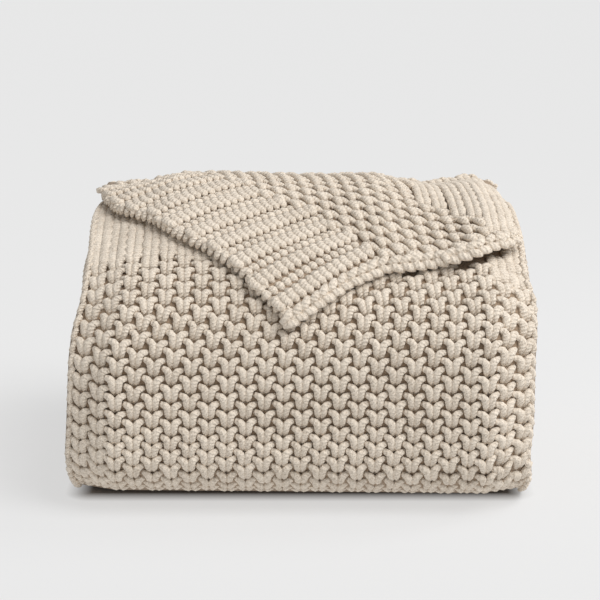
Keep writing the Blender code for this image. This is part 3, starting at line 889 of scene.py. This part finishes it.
def tube(path, radii, flat):
    """A closed tube round a line of points, flattened along Z: points, faces, places on the yarn."""
    points, faces, plies = [], [], []
    path = [Vector(p) * MM for p in path]
    length = 0.0
    lengths = []
    for number, (centre, radius) in enumerate(zip(path, radii)):
        low = path[max(number - 1, 0)]
        high = path[min(number + 1, len(path) - 1)]
        length += (centre - low).length
        lengths.append(length)
        tangent = (high - low).normalized()
        across = tangent.cross(Vector((0.0, 0.0, 1.0))).normalized()
        over = across.cross(tangent)
        for side in range(SIDES):
            angle = 2.0 * math.pi * (side + 0.5) / SIDES
            arm = across * math.cos(angle) + over * math.sin(angle) * flat
            points.append(centre + arm * radius * MM)
    for ring in range(len(path) - 1):
        for side in range(SIDES):
            after = (side + 1) % SIDES
            faces.append((ring * SIDES + side, ring * SIDES + after,
                          (ring + 1) * SIDES + after, (ring + 1) * SIDES + side))
            low, high = side / SIDES, (side + 1) / SIDES
            plies.append(((low, lengths[ring]), (high, lengths[ring]),
                          (high, lengths[ring + 1]), (low, lengths[ring + 1])))
    faces.append(tuple(range(SIDES - 1, -1, -1)))
    faces.append(tuple((len(path) - 1) * SIDES + side for side in range(SIDES)))
    plies += [((0.0, 0.0),) * SIDES, ((0.0, 0.0),) * SIDES]
    return points, faces, plies


def unit(name, tubes, flat=0.85):
    """One mesh from several tubes, given as (path, radii)."""
    points, faces, plies = [], [], []
    for path, radii in tubes:
        more_points, more_faces, more_plies = tube(path, radii, flat)
        start = len(points)
        points += [tuple(p) for p in more_points]
        faces += [tuple(start + corner for corner in face) for face in more_faces]
        plies += more_plies
    return mesh_object(name, points, faces, yarn, plies)


def mirrored(path):
    return [(-x, y, z) for x, y, z in path]


RIB_LEG = [(9.0, 4.7, -4.6), (6.9, 4.0, -2.7), (4.5, 3.2, -1.7), (2.6, 1.0, -1.3),
           (2.2, -3.8, -2.2), (1.6, -9.4, -5.2)]
RIB_RADII = [1.9, 2.6, 3.2, 3.6, 3.1, 1.9]
rib_stitch = unit("rib_stitch", [(RIB_LEG, RIB_RADII), (mirrored(RIB_LEG), RIB_RADII)])

PULLED_LEG = [(2.9, 9.6, -3.6), (3.2, 4.8, -2.7), (3.1, 0.0, -2.3), (3.2, -4.8, -2.7),
              (2.9, -9.6, -3.6)]
PULLED_RADII = [3.9, 4.5, 4.8, 4.5, 3.9]
PULLED_TUBES = [(PULLED_LEG, PULLED_RADII), (mirrored(PULLED_LEG), PULLED_RADII)]
pulled_stitch = unit("pulled_stitch", PULLED_TUBES, flat=0.66)

BAR = [(-7.0, 0.9, -3.8), (-4.0, 0.9, -2.0), (0.0, 0.5, -1.3), (4.2, -0.3, -1.6), (8.0, -1.2, -3.6)]
BAR_RADII = [2.0, 3.3, 3.9, 3.6, 2.3]
LOW_BAR = [(-6.5, 5.6, -4.4), (-2.5, 6.4, -3.7), (2.5, 7.0, -3.7), (7.0, 7.4, -4.4)]
LOW_RADII = [2.8, 3.5, 3.5, 2.8]
bar_stitch = unit("bar_stitch", [(BAR, BAR_RADII), (LOW_BAR, LOW_RADII)])

WIDE_LOOP = [(-8.5, 0.9, -4.6), (-5.2, 0.5, -2.0), (-1.8, -0.6, -2.3), (1.8, -0.6, -2.3),
             (5.2, 0.5, -2.0), (8.5, 0.9, -4.6)]
WIDE_RADII = [1.7, 3.8, 4.3, 4.3, 3.8, 1.7]
wide_loop = unit("wide_loop", [(WIDE_LOOP, WIDE_RADII)], flat=0.66)

NARROW_LOOP = [(-5.2, 0.0, -5.0), (-2.6, 0.2, -3.6), (0.0, 0.3, -3.2), (2.6, 0.2, -3.6),
               (5.2, 0.0, -5.0)]
NARROW_RADII = [1.7, 3.2, 3.9, 3.2, 1.7]
narrow_loop = unit("narrow_loop", [(NARROW_LOOP, NARROW_RADII)], flat=0.55)

BEAD = [(-4.8, 0.5, -3.8), (-2.2, 0.3, -1.6), (0.8, -0.2, -1.0), (3.4, -0.4, -2.2), (5.0, -0.6, -4.2)]
BEAD_RADII = [1.8, 3.0, 3.5, 3.1, 1.9]
bead = unit("bead", [(BEAD, BEAD_RADII)], flat=0.75)

CHAIN_LEG = [(4.7, 5.4, -2.8), (4.0, 2.8, -0.8), (2.5, -1.2, 0.0), (1.2, -6.4, -2.0)]
CHAIN_RADII = [2.1, 3.1, 3.3, 2.2]
chain_stitch = unit("chain_stitch", [(CHAIN_LEG, CHAIN_RADII), (mirrored(CHAIN_LEG), CHAIN_RADII)])
PATTERNS = (rib_stitch, pulled_stitch, bar_stitch, wide_loop, narrow_loop, bead, chain_stitch)
for pattern in PATTERNS:
    print(pattern.name, len(pattern.data.polygons), "faces")

# %% [markdown]
# Placing hundreds of stitches by hand would be slow, and an array along a straight line can't follow
# the folds. Geometry Nodes copy the stitch onto points that already know which way is out of the
# cloth and which way the column grows. A fixed seed turns and sizes each copy a little, because no
# two hand-made stitches are alike. The last nodes make the copies real and give them the yarn.

# %% Tree that lays stitches
# What the tree is given: name and kind of each socket.
SOCKETS = (
    ("Geometry", "Geometry"),
    ("Stitch", "Object"),
    ("Size", "Float"),
    ("Size Spread", "Float"),
    ("Turn Spread", "Float"),
    ("Seed", "Int"),
    ("Yarn", "Material"),
)


def stitch_tree():
    tree = bpy.data.node_groups.new("lay_stitches", "GeometryNodeTree")
    for name, kind in SOCKETS:
        tree.interface.new_socket(name, in_out="INPUT", socket_type="NodeSocket" + kind)
    tree.interface.new_socket("Geometry", in_out="OUTPUT", socket_type="NodeSocketGeometry")
    nodes, links = tree.nodes, tree.links
    given = nodes.new("NodeGroupInput")
    result = nodes.new("NodeGroupOutput")
    source = nodes.new("GeometryNodeObjectInfo")
    links.new(given.outputs["Stitch"], source.inputs["Object"])

    def vector_attribute(name):
        node = nodes.new("GeometryNodeInputNamedAttribute")
        node.data_type = "FLOAT_VECTOR"
        node.inputs["Name"].default_value = name
        return node.outputs["Attribute"]

    def random_value():
        node = nodes.new("FunctionNodeRandomValue")
        node.data_type = "FLOAT"
        links.new(given.outputs["Seed"], node.inputs["Seed"])
        return node

    outward = nodes.new("FunctionNodeAlignRotationToVector")
    outward.axis = "Z"
    links.new(vector_attribute("outward"), outward.inputs["Vector"])
    growing = nodes.new("FunctionNodeAlignRotationToVector")
    growing.axis = "Y"
    growing.pivot_axis = "Z"
    links.new(outward.outputs["Rotation"], growing.inputs["Rotation"])
    links.new(vector_attribute("growing"), growing.inputs["Vector"])
    turn = random_value()
    negative = math_node(tree, "MULTIPLY", given.outputs["Turn Spread"], -1.0)
    links.new(negative, turn.inputs[2])
    links.new(given.outputs["Turn Spread"], turn.inputs[3])
    spin = nodes.new("FunctionNodeAxisAngleToRotation")
    spin.inputs["Axis"].default_value = (0.0, 0.0, 1.0)
    links.new(turn.outputs[1], spin.inputs["Angle"])
    rotation = nodes.new("FunctionNodeRotateRotation")
    rotation.rotation_space = "LOCAL"
    links.new(growing.outputs["Rotation"], rotation.inputs["Rotation"])
    links.new(spin.outputs["Rotation"], rotation.inputs["Rotate By"])
    spread = random_value()
    spread.inputs[2].default_value = -1.0
    spread.inputs[3].default_value = 1.0
    scale = nodes.new("ShaderNodeMath")
    scale.operation = "MULTIPLY_ADD"
    links.new(spread.outputs[1], scale.inputs[0])
    links.new(given.outputs["Size Spread"], scale.inputs[1])
    links.new(given.outputs["Size"], scale.inputs[2])
    scaled = nodes.new("ShaderNodeVectorMath")
    scaled.operation = "SCALE"
    links.new(vector_attribute("stretch"), scaled.inputs[0])
    links.new(scale.outputs[0], scaled.inputs["Scale"])
    lay = nodes.new("GeometryNodeInstanceOnPoints")
    links.new(given.outputs["Geometry"], lay.inputs["Points"])
    links.new(source.outputs["Geometry"], lay.inputs["Instance"])
    links.new(rotation.outputs["Rotation"], lay.inputs["Rotation"])
    links.new(scaled.outputs[0], lay.inputs["Scale"])
    dye = random_value()
    store = nodes.new("GeometryNodeStoreNamedAttribute")
    store.domain = "INSTANCE"
    store.data_type = "FLOAT"
    store.inputs["Name"].default_value = "shade"
    links.new(lay.outputs["Instances"], store.inputs["Geometry"])
    links.new(dye.outputs[1], store.inputs["Value"])
    real = nodes.new("GeometryNodeRealizeInstances")
    links.new(store.outputs["Geometry"], real.inputs["Geometry"])
    finish = nodes.new("GeometryNodeSetMaterial")
    links.new(real.outputs["Geometry"], finish.inputs["Geometry"])
    links.new(given.outputs["Yarn"], finish.inputs["Material"])
    links.new(finish.outputs["Geometry"], result.inputs["Geometry"])
    return tree


LAY_STITCHES = stitch_tree()
print(LAY_STITCHES.name, len(LAY_STITCHES.nodes), "nodes")

# %% [markdown]
# One helper turns a list of places into one piece. The places become points with three attributes,
# the tree lays stitches on them, and the evaluated result is kept as a plain mesh, because a piece
# that is handed over has no live modifier. Another helper finds a place's directions by feeling a
# little to each side on the surface.

# %% Lay stitches on places


def lay(name, places, stitch, seed, size=1.0, size_spread=0.04, turn_spread=0.06):
    """Stitches on places, each a (point, outward, growing, stretch), as one plain mesh."""
    mesh = bpy.data.meshes.new(name + "_points")
    mesh.from_pydata([tuple(place[0]) for place in places], [], [])
    for key, column in (("outward", 1), ("growing", 2), ("stretch", 3)):
        attribute = mesh.attributes.new(key, "FLOAT_VECTOR", "POINT")
        for item, place in zip(attribute.data, places):
            item.vector = place[column]
    points = bpy.data.objects.new(name + "_points", mesh)
    bpy.context.scene.collection.objects.link(points)
    modifier = points.modifiers.new("stitches", "NODES")
    modifier.node_group = LAY_STITCHES
    values = {"Stitch": stitch, "Size": size, "Size Spread": size_spread,
              "Turn Spread": turn_spread, "Seed": seed, "Yarn": yarn}
    for socket in LAY_STITCHES.interface.items_tree:
        if socket.in_out == "INPUT" and socket.name in values:
            modifier[socket.identifier] = values[socket.name]
    graph = bpy.context.evaluated_depsgraph_get()
    plain = bpy.data.meshes.new_from_object(points.evaluated_get(graph), depsgraph=graph)
    plain.name = name
    bpy.data.objects.remove(points)
    bpy.data.meshes.remove(mesh)
    piece = bpy.data.objects.new(name, plain)
    bpy.context.scene.collection.objects.link(piece)
    triangles = sum(len(face.vertices) - 2 for face in plain.polygons)
    print(name, len(places), "stitches,", triangles, "triangles")
    return piece


PROBE = 0.0015


def frame_on(surface, a, b, height, side, direction=(0.0, 1.0), stretch=(1.0, 1.0, 1.0)):
    """A place for a stitch on a surface of two numbers; side is 1 or -1 for the face to stand on."""
    point = surface(a, b, height)
    by_a = surface(a + PROBE, b, height) - surface(a - PROBE, b, height)
    by_b = surface(a, b + PROBE, height) - surface(a, b - PROBE, height)
    outward = by_a.cross(by_b).normalized() * side
    growing = (by_a * direction[0] + by_b * direction[1]).normalized()
    return point, outward, growing, stretch


print("probe step", PROBE)

# %% [markdown]
# The front is the outer wrap of the stack: 25 columns of fat stitches, each half a stitch out of
# step with its neighbours. The columns start under the front at the floor and go up and over the
# top bend, where the cloth is pulled smooth at the left and at the right end. Under the front the
# stitches sink a little into the cloth, and the columns at the rounded corners are a little wider.
# Stitches that the flap hides are left out.

# %% Front stitches
WALE = 0.0148
STITCH_RISE = 0.0147
COLUMN_SHIFT = 0.08
ROW_SHIFT = 0.365
WALES = range(-13, 14)
OUT_OF_STEP = 0.5
FRONT_REACH = 0.99
HIDDEN_MARGIN = 0.010
FLAT_TURN = 0.02
FIRST_ROW_FACING = -0.3
PULLED_LEFT_X = -0.066
PULLED_LEFT_Y = -0.090
PULLED_RIGHT_X = 0.150
PULLED_RIGHT_UP = 0.88
FADE_WAVE = 0.009
FADE_TURN = 2.3
# Columns at the rounded corners, counted from the middle, and how much wider their stitches are.
SIDE_WIDE = {11: 1.16, 12: 1.24}
# Changes of the stitches near the floor and over the top: how large, where it starts, over how much.
# The start is how far the cloth faces down, its height in metres, or how far it faces up.
UNDER_SINK, SINK_START, SINK_RUN = 0.0032, 0.5, 0.45
FOOT_GROWTH, GROWTH_START, GROWTH_RUN = 0.50, 0.1, 0.9
LOW_SHRINK, SHRINK_HEIGHT, SHRINK_RUN = 0.04, 0.085, 0.04
TOP_SHRINK, TOP_START, TOP_RUN = 0.12, -0.15, 0.4


def folds_surface(x, along, height):
    return fold_point(x / HALF_WIDTH, along, height)


def flap_run_over(y, out):
    """How far along the flap the place lies that covers this place of the outer U."""
    straight = ROLL_Y - (FRONT_Y + TOP_BEND_R)
    turn = math.atan2(-out[0], out[1])
    if turn < FLAT_TURN:
        return ROLL_Y - y
    return straight + min(turn, math.pi / 2) * (TOP_BEND_R + FLAP_GAP + CLOTH_T / 2)


def hidden(x, y, out):
    """True where the flap or the roll covers the outer U."""
    run = flap_run_over(y, out)
    if out[1] > 0.0 and within_flap(x, run, HIDDEN_MARGIN):
        return True
    return out[0] > FACES_FRONT and run < FLAP_RUN[0][1] + HIDDEN_MARGIN


def is_pulled(x, y, out):
    """True where the top bend pulls the stitches smooth: at the left, and at the right end."""
    uneven = FADE_WAVE * math.sin(x / WALE * FADE_TURN)
    at_left = x < PULLED_LEFT_X and y > PULLED_LEFT_Y + uneven and out[1] > FACES_UP
    at_right = x > PULLED_RIGHT_X and out[1] > PULLED_RIGHT_UP
    return at_left or at_right


def growth_at(along):
    """How tall a row is beside the usual: more under the front, less low down and over the top."""
    _, z, out, _ = row_at(along)
    foot = FOOT_GROWTH * smooth((-out[1] - GROWTH_START) / GROWTH_RUN)
    low = LOW_SHRINK * smooth((SHRINK_HEIGHT - z) / SHRINK_RUN)
    return 1.0 + foot - low - TOP_SHRINK * smooth((out[1] - TOP_START) / TOP_RUN)


def front_rows():
    """Distances along the outer U at which a row starts, and how tall each row is beside the usual."""
    outer = ((at, row) for at, row in zip(LENGTHS, PATH) if row[3] == 0)
    along = next(at for at, row in outer if row[2][0] < FIRST_ROW_FACING)
    along += ROW_SHIFT * STITCH_RISE - STITCH_RISE
    rows = []
    while along < LENGTHS[ROLL_START - 1]:
        growth = growth_at(along)
        rows.append((along, growth))
        along += STITCH_RISE * growth
    return rows


def front_places(smooth_ones):
    """Places on the outer U, of the plain stitches or of those that the top bend has stretched."""
    places = []
    for wale in WALES:
        x = (wale + COLUMN_SHIFT) * WALE
        if abs(x) > HALF_WIDTH * FRONT_REACH:
            continue
        for start, growth in front_rows():
            along = start + OUT_OF_STEP * (wale % 2) * STITCH_RISE * growth
            y, _, out, _ = row_at(along)
            if is_pulled(x, y, out) != smooth_ones or hidden(x, y, out):
                continue
            wide = SIDE_WIDE.get(abs(wale), 1.0)
            tall = max(growth, 1.0)
            sink = UNDER_SINK * smooth((-out[1] - SINK_START) / SINK_RUN)
            place = frame_on(folds_surface, x, along, CLOTH_T / 2 - sink, 1.0)
            places.append(place[:3] + ((wide, tall, 1.0),))
    return places


front = lay("front_stitches", front_places(False), rib_stitch, seed=11)
crown = lay("stretched_stitches", front_places(True), pulled_stitch, seed=13, turn_spread=0.03)

# %% [markdown]
# The flap shows the other face of the cloth, and its columns slant across it. A grid in the flap's
# own flat plane gives the places, and each one is then put on the bent flap. Next to the cast-on edge
# lies the border band, with ribs of wide loops and ridges of narrow loops between them. At the back
# right the stitches are pulled into smooth ribs.

# %% Slanting grid on the flap
RIB_ANGLE = math.radians(34.0)
BODY_WALE = 0.0140
BODY_RISE = 0.0131
BODY_SHIFT = 0.3
BODY_CLEAR = 0.0025
BODY_WALES = range(-30, 14)
BODY_ROWS = range(-30, 40)
BAND_WIDTH = 0.093
BAND_LAP = 0.003
BAND_RIB = 0.0243
BAND_RISE = 0.0066
BAND_SHIFT = 0.15
BAND_START = 0.004
BAND_CLEAR = 0.002
BAND_RIBS = range(-14, 5)
BAND_ROWS = range(-12, 40)
CHAIN_WIDTH = 0.0056
STRETCH_RISE = 0.0150
STRETCH_WALE = 0.0125
STRETCH_LEAN = 0.05
STRETCH_X = 0.098
STRETCH_RUN = 0.148
STRETCH_SLANT = 1.05
STRETCH_RIBS = range(-4, 12)
STRETCH_ROWS = range(24)
STRETCH_SIZE = (0.88, 1.0, 1.0)
UP_RIBS = (math.cos(RIB_ANGLE), -math.sin(RIB_ANGLE))
OVER_RIBS = (math.sin(RIB_ANGLE), math.cos(RIB_ANGLE))
CAST_ON = FLAP_RUN[FLAP_LEFT:FLAP_TIP + 1]
CHAIN_EDGE = FLAP_RUN[FLAP_TIP:FLAP_CORNER + 1]


def grid_place(up, over):
    """Flat place on the flap, from distances along and across the ribs from the flap's point."""
    tip = FLAP_RUN[FLAP_TIP]
    x = tip[0] + up * UP_RIBS[0] + over * OVER_RIBS[0]
    run = tip[1] + up * UP_RIBS[1] + over * OVER_RIBS[1]
    return x, run


def on_flap(x, run, direction, height=CLOTH_T / 2, stretch=(1.0, 1.0, 1.0)):
    return frame_on(flap_place, x, run, height, -1.0, direction, stretch)


def in_body(x, run):
    """True on the flap away from its border band and its chain edge."""
    past_band = distance_to(CAST_ON, x, run) > BAND_WIDTH - BAND_LAP
    off_chain = distance_to(CHAIN_EDGE, x, run) > CHAIN_WIDTH
    return within_flap(x, run, BODY_CLEAR) and past_band and off_chain


def is_stretched(x, run):
    """True at the back right of the flap, where the stitches are pulled into smooth ribs."""
    return x > STRETCH_X and run < STRETCH_RUN + STRETCH_SLANT * (x - STRETCH_X)


def body_places():
    places = []
    for wale in BODY_WALES:
        for row in BODY_ROWS:
            up = (row + OUT_OF_STEP * (wale % 2)) * BODY_RISE
            x, run = grid_place(up, (wale + BODY_SHIFT) * BODY_WALE)
            if in_body(x, run) and not is_stretched(x, run):
                places.append(on_flap(x, run, UP_RIBS))
    return places


def stretched_places():
    """Places in the smooth ribs, which run nearly straight from the back to the front."""
    places = []
    for rib in STRETCH_RIBS:
        for row in STRETCH_ROWS:
            run = (row + OUT_OF_STEP * (rib % 2)) * STRETCH_RISE
            x = STRETCH_X + rib * STRETCH_WALE + run * STRETCH_LEAN
            if in_body(x, run) and is_stretched(x, run):
                places.append(on_flap(x, run, (-STRETCH_LEAN, -1.0), stretch=STRETCH_SIZE))
    return places


def band_places(wide):
    """Places of the wide loops, or of the narrow ones between them, in the border band."""
    between = 0.0 if wide else OUT_OF_STEP
    places = []
    for rib in BAND_RIBS:
        over = (rib + between + BAND_SHIFT) * BAND_RIB
        for row in BAND_ROWS:
            up = BAND_START + (row + between) * BAND_RISE
            x, run = grid_place(up, over)
            if not within_flap(x, run, BAND_CLEAR):
                continue
            in_band = distance_to(CAST_ON, x, run) < BAND_WIDTH + BAND_LAP
            if in_band and distance_to(CHAIN_EDGE, x, run) > CHAIN_WIDTH:
                places.append(on_flap(x, run, UP_RIBS))
    return places


body = lay("flap_stitches", body_places(), bar_stitch, seed=23, turn_spread=0.10)
ribs = lay("flap_ribs", stretched_places(), pulled_stitch, seed=29, turn_spread=0.03)
band_wide = lay("band_loops", band_places(True), wide_loop, seed=31, turn_spread=0.03)
band_narrow = lay("band_ridges", band_places(False), narrow_loop, seed=37, turn_spread=0.03)

# %% [markdown]
# A chain edge runs from the flap's point to its right corner: a plait of small V's lying along the
# edge. The cast-on edge and the flap's two ends have a plainer rim of short beads of yarn, in two
# rows: one on the edge, and one under it that covers the cloth's thickness.

# %% Edges of the flap
CHAIN_STEP = 0.0088
CHAIN_INSET = 0.0052
CHAIN_HEIGHT = 0.0020
CHAIN_LEAN = math.radians(26.0)
CHAIN_SIZE = (1.12, 1.1, 1.15)
RIM_STEP = 0.0068
# The lower row lies further in, so the dark line under the edge is partly real shadow in that recess
# and partly the sheet's painted shade.
# The rim's two rows: how far in from the outline, height over the cloth's middle, lean outwards.
RIM_ROWS = (
    (0.0046, 0.0014, math.radians(30.0)),
    (0.0086, -0.0024, math.radians(105.0)),
)
LEFT_END = ((FLAP_RUN[0][0], 0.0),) + FLAP_RUN[:FLAP_LEFT + 1]
RIGHT_END = FLAP_RUN[FLAP_CORNER:] + ((FLAP_RUN[-1][0], 0.0),)


def edge_places(points, step, inset, height, lean, stretch=(1.0, 1.0, 1.0)):
    """Places along an outline, moved inwards by the inset and leaning outwards by an angle."""
    lengths = polyline(points)
    places = []
    for number in range(int(lengths[-1] / step)):
        (x, run), (dx, dr) = along_polyline(points, lengths, (number + 0.5) * step)
        x, run = x + dr * inset, run - dx * inset
        point, normal, growing, _ = on_flap(x, run, (dx, dr), height)
        outside = on_flap(x, run, (-dr, dx), height)[2]
        outward = (normal * math.cos(lean) + outside * math.sin(lean)).normalized()
        growing = (growing - outward * growing.dot(outward)).normalized()
        places.append((point, outward, growing, stretch))
    return places


chain_places = edge_places(CHAIN_EDGE, CHAIN_STEP, CHAIN_INSET, CHAIN_HEIGHT, CHAIN_LEAN, CHAIN_SIZE)
chain = lay("chain_edge", chain_places, chain_stitch, seed=41, size_spread=0.03, turn_spread=0.05)
rim_places = []
for inset, height, lean in RIM_ROWS:
    for edge_line in (CAST_ON, LEFT_END, RIGHT_END):
        rim_places += edge_places(edge_line, RIM_STEP, inset, height, lean)
rim = lay("flap_rim", rim_places, bead, seed=43, size=0.88, size_spread=0.08, turn_spread=0.18)

# %% [markdown]
# At the sides each layer shows its edge as a chain of small stitches, one chain above another. At
# the back each fold shows a few stitches that go round the bend. The lowest chain is kept clear of
# the floor, and back stitches that would reach through it are left out.

# %% Side edges and back folds
EDGE_STEP = 0.0100
EDGE_CLEAR = 0.0086
EDGE_SIZE = (0.92, 1.05, 1.0)
BACK_STEP = 0.0080
BACK_ROWS = (-1, 0, 1)
BACK_ROW_SHIFT = 0.25
BACK_REACH = 0.985
BACK_FACING = 0.999
BACK_CLEAR = 0.0045


def side_places():
    places = []
    for number in range(int(LENGTHS[-1] / EDGE_STEP)):
        along = (number + 0.5) * EDGE_STEP
        layer = row_at(along)[3]
        for right in (False, True):
            reach = edge_u(layer, along, right)
            u = reach if right else -reach
            point = fold_point(u, along, 0.0)
            point.z = max(point.z, EDGE_CLEAR)
            growing = fold_point(u, along + PROBE, 0.0) - fold_point(u, along - PROBE, 0.0)
            growing = growing.normalized()
            outward = Vector((1.0 if right else -1.0, 0.0, 0.0))
            outward = (outward - growing * outward.dot(growing)).normalized()
            places.append((point, outward, growing, EDGE_SIZE))
    return places


def back_centres():
    """Distances along the path of the middle of each fold at the back."""
    centres = []
    for index in range(1, len(PATH) - 1):
        row = PATH[index]
        if row[0] > BACK_START and abs(row[2][0]) > BACK_FACING:
            centres.append(LENGTHS[index])
    return centres


def back_places():
    places = []
    for centre in back_centres():
        for wale in WALES:
            x = (wale + COLUMN_SHIFT) * WALE
            if abs(x) > HALF_WIDTH * BACK_REACH:
                continue
            for row in BACK_ROWS:
                along = centre + (row + OUT_OF_STEP * (wale % 2) - BACK_ROW_SHIFT) * BACK_STEP
                side = 1.0 if row_at(along)[2][0] > 0.0 else -1.0
                place = frame_on(folds_surface, x, along, side * CLOTH_T / 2, side)
                if place[0].z > BACK_CLEAR:
                    places.append(place)
    return places


edges = lay("side_edges", side_places(), chain_stitch, seed=53, turn_spread=0.10)
back = lay("back_stitches", back_places(), rib_stitch, seed=59)

# %% [markdown]
# The single stitches were only patterns to copy. The pieces above are meshes of their own now, so
# the patterns go, and nothing is left lying at the origin.

# %% Put the patterns away
for pattern in PATTERNS:
    bpy.data.objects.remove(pattern)
print("patterns removed", len(PATTERNS))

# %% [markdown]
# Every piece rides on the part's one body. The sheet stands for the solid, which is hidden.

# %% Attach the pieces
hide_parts("throw")
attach(cloth, "root")
knit_pieces = [front, crown, body, ribs, band_wide, band_narrow, chain, rim, edges, back]
for piece in knit_pieces:
    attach(piece, "root")
